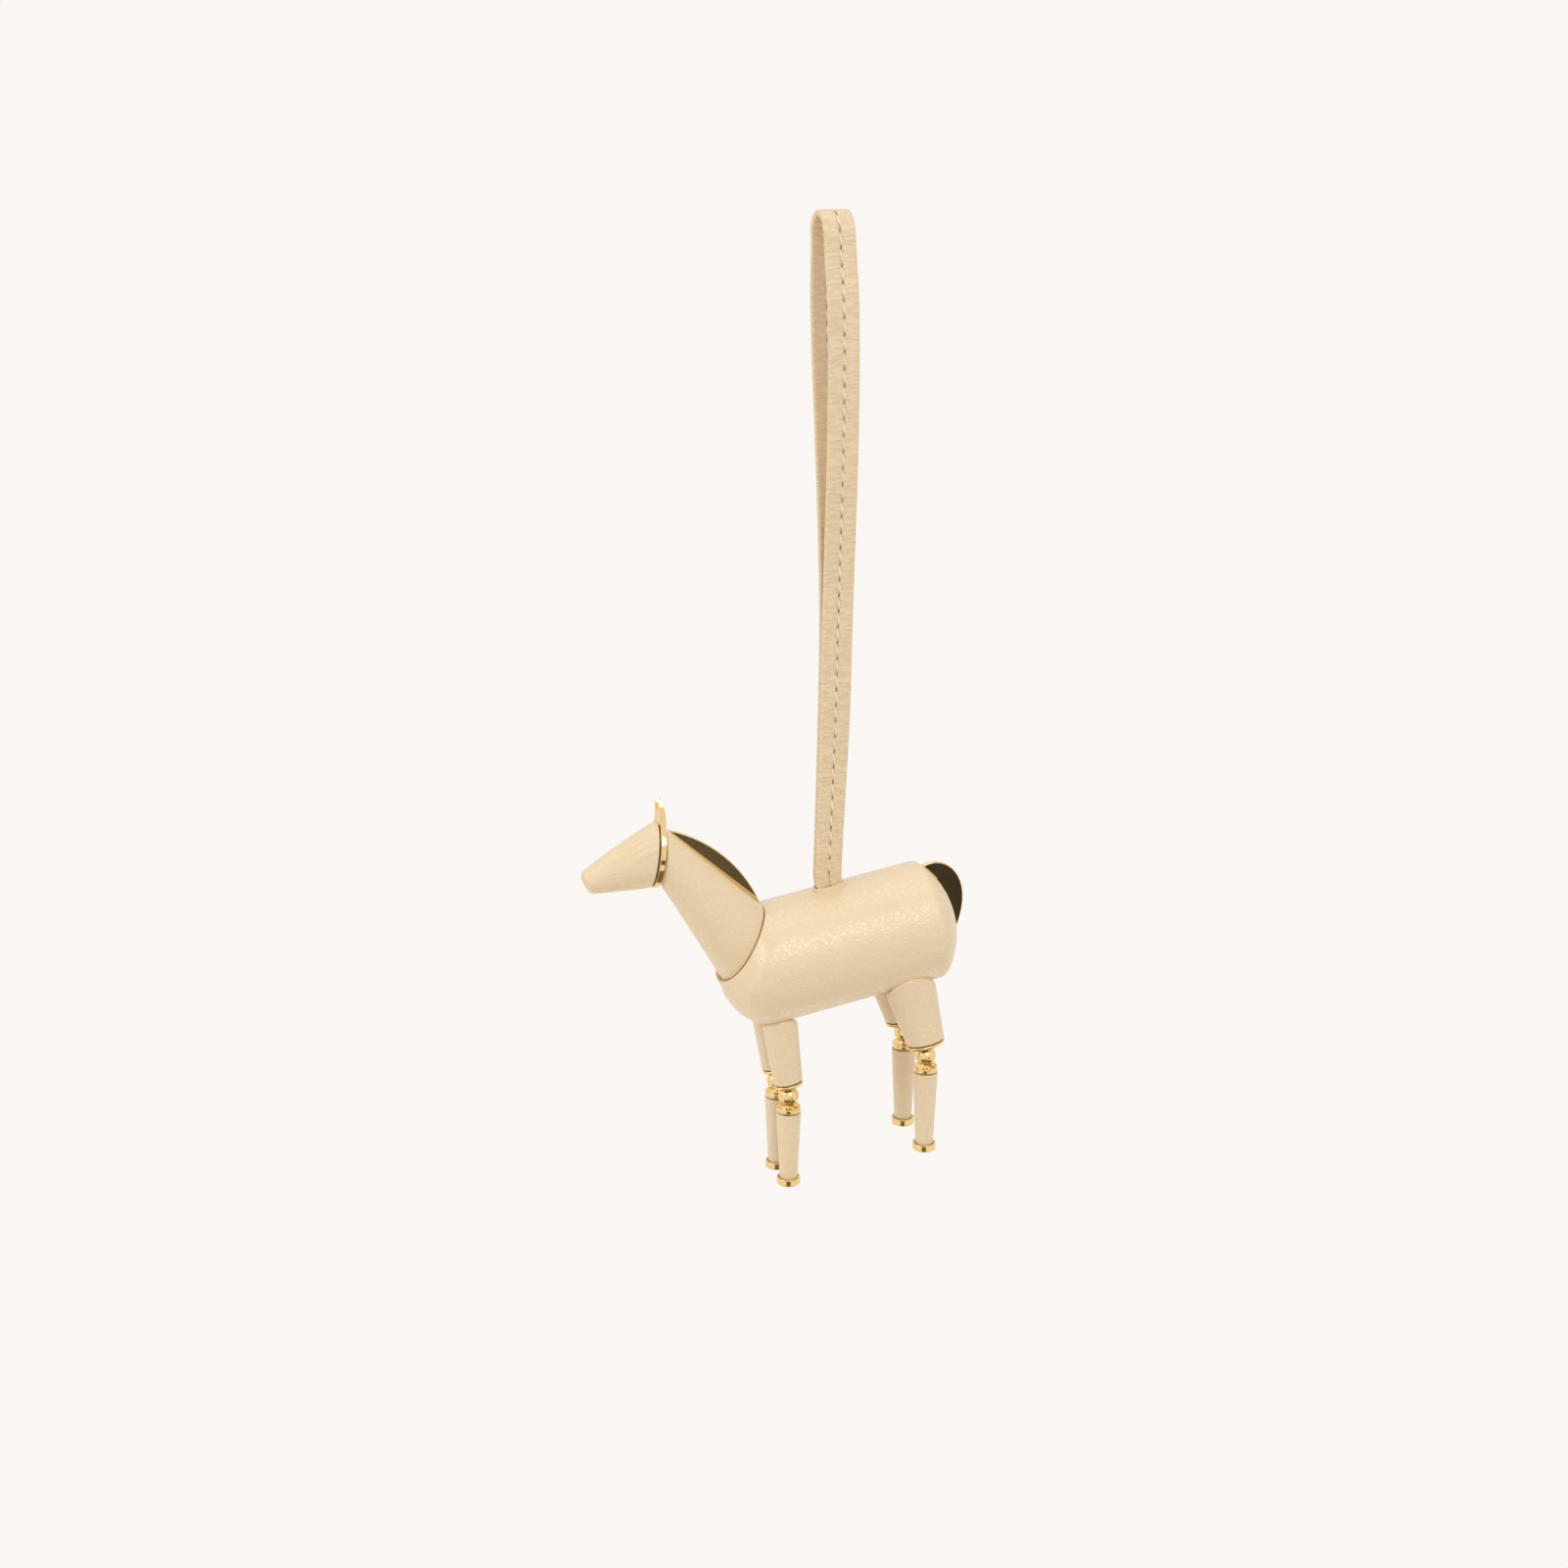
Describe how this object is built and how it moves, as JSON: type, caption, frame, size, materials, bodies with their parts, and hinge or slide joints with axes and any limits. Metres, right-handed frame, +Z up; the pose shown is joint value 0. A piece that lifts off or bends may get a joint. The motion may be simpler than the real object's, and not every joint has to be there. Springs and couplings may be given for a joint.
{
  "type": "horse bag charm",
  "caption": "Leather-covered horse figure with polished gold-tone mane, tail, ball knees and hooves, hung from a stitched leather strap loop.",
  "frame": {"origin": "inside top of the strap loop, where the charm hangs", "axes": "+Z up as hung, the horse faces -X, its left side is -Y"},
  "size_m": [0.0967, 0.03, 0.2379],
  "materials": {
    "cream_leather": "fine-grained cream leather with a soft sheen",
    "gold_brass": "mirror-polished gold tone",
    "core_wood": "bare turned wood, hidden"
  },
  "bodies": {
    "strap": {"strap": "cream_leather"},
    "torso": {"strap_end_left": "cream_leather", "strap_end_right": "cream_leather", "strap_pin": "gold_brass", "barrel_skin": "cream_leather", "barrel_core": "core_wood", "rump_cover": "cream_leather", "neck_skin": "cream_leather", "neck_core": "core_wood", "neck_dowel": "core_wood", "mane_plate": "gold_brass", "ear_collar": "gold_brass", "head_skin": "cream_leather", "head_core": "core_wood", "head_dowel": "core_wood", "tail_plate": "gold_brass", "upper_leg_skin_front_left": "cream_leather", "upper_leg_core_front_left": "core_wood", "upper_leg_cap_front_left": "gold_brass", "leg_dowel_front_left": "core_wood", "knee_ball_front_left": "gold_brass", "upper_leg_skin_front_right": "cream_leather", "upper_leg_core_front_right": "core_wood", "upper_leg_cap_front_right": "gold_brass", "leg_dowel_front_right": "core_wood", "knee_ball_front_right": "gold_brass", "upper_leg_skin_rear_left": "cream_leather", "upper_leg_core_rear_left": "core_wood", "upper_leg_cap_rear_left": "gold_brass", "leg_dowel_rear_left": "core_wood", "knee_ball_rear_left": "gold_brass", "upper_leg_skin_rear_right": "cream_leather", "upper_leg_core_rear_right": "core_wood", "upper_leg_cap_rear_right": "gold_brass", "leg_dowel_rear_right": "core_wood", "knee_ball_rear_right": "gold_brass"},
    "lower_leg_front_left": {"knee_link_front_left": "gold_brass", "knee_collar_front_left": "gold_brass", "shank_skin_front_left": "cream_leather", "shank_core_front_left": "core_wood", "hoof_front_left": "gold_brass"},
    "lower_leg_front_right": {"knee_link_front_right": "gold_brass", "knee_collar_front_right": "gold_brass", "shank_skin_front_right": "cream_leather", "shank_core_front_right": "core_wood", "hoof_front_right": "gold_brass"},
    "lower_leg_rear_left": {"knee_link_rear_left": "gold_brass", "knee_collar_rear_left": "gold_brass", "shank_skin_rear_left": "cream_leather", "shank_core_rear_left": "core_wood", "hoof_rear_left": "gold_brass"},
    "lower_leg_rear_right": {"knee_link_rear_right": "gold_brass", "knee_collar_rear_right": "gold_brass", "shank_skin_rear_right": "cream_leather", "shank_core_rear_right": "core_wood", "hoof_rear_right": "gold_brass"}
  },
  "joints": [
    {"name": "strap_swing", "type": "hinge", "parent": "strap", "child": "torso", "pos_m": [0, 0, -0.1576], "axis": [1, 0, 0], "range_deg": [-80, 80]},
    {"name": "knee_front_left", "type": "hinge", "parent": "torso", "child": "lower_leg_front_left", "pos_m": [-0.01188, -0.005, -0.21247], "axis": [0, 1, 0], "range_deg": [-22, 22]},
    {"name": "knee_front_right", "type": "hinge", "parent": "torso", "child": "lower_leg_front_right", "pos_m": [-0.01188, 0.005, -0.21247], "axis": [0, 1, 0], "range_deg": [-22, 22]},
    {"name": "knee_rear_left", "type": "hinge", "parent": "torso", "child": "lower_leg_rear_left", "pos_m": [0.02304, -0.008, -0.20481], "axis": [0, 1, 0], "range_deg": [-22, 22]},
    {"name": "knee_rear_right", "type": "hinge", "parent": "torso", "child": "lower_leg_rear_right", "pos_m": [0.02304, 0.008, -0.20481], "axis": [0, 1, 0], "range_deg": [-22, 22]}
  ]
}
